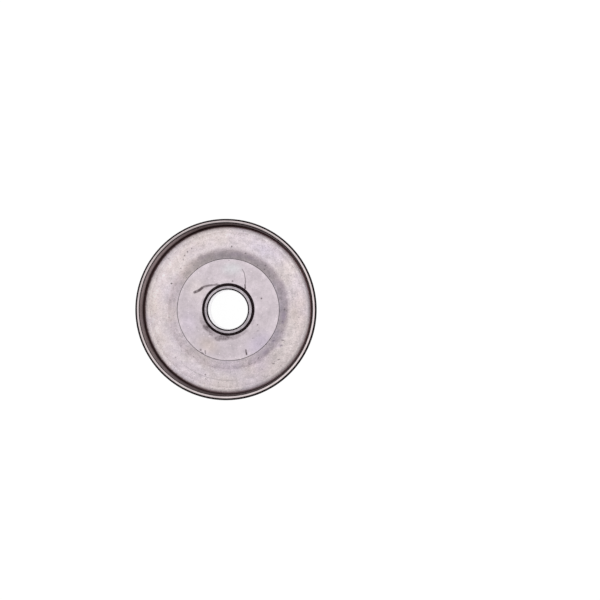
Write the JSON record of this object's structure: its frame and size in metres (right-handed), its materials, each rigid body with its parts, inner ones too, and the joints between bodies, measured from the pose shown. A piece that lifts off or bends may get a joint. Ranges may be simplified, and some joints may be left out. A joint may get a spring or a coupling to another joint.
{
  "type": "chainsaw clutch drum with spur sprocket",
  "caption": "Pressed steel clutch drum, open on one side, brazed to a toothed sprocket with a needle cage bore. It drives a saw chain when the clutch grips inside it.",
  "frame": {"origin": "on the axis, at the end face of the sprocket that the part stands on", "axes": "+Z along the axis, from the sprocket towards the drum's open side; a gullet between two teeth is on +X"},
  "size_m": [0.0676, 0.0676, 0.03],
  "materials": {
    "drum_steel": "tumbled and satin, with the middle of the floor and the rim turned bright",
    "sprocket_steel": "satin, with the hub's end and the bore ground"
  },
  "bodies": {
    "root": {"clutch_drum": "drum_steel", "sprocket": "sprocket_steel"}
  },
  "joints": []
}
